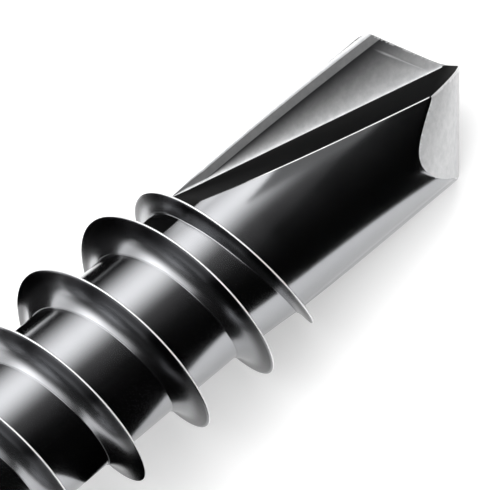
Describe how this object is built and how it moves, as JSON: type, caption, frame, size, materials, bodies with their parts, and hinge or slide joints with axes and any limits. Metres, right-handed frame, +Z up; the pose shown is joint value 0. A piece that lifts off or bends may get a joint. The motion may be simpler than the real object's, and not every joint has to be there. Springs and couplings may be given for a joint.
{
  "type": "self drilling screw",
  "caption": "Self drilling screw with a hexagon washer head, a right-handed thread and a two-lipped pinched drill point, lying on its side.",
  "frame": {"origin": "centre of the bounding box's base, on the plane that the screw lies on", "axes": "+Z up; the screw's axis lies in the XZ plane, its point towards +X and dipping below the horizontal by the angle at which the flange's rim and two corners of the drill point, the heel and the cutting corner beside one flute, touch the plane"},
  "size_m": [0.0296, 0.0104, 0.0104],
  "materials": {
    "steel": "bright zinc plated and polished, ground satin on the relief faces of the point"
  },
  "bodies": {
    "root": {"screw": "steel"}
  },
  "joints": []
}
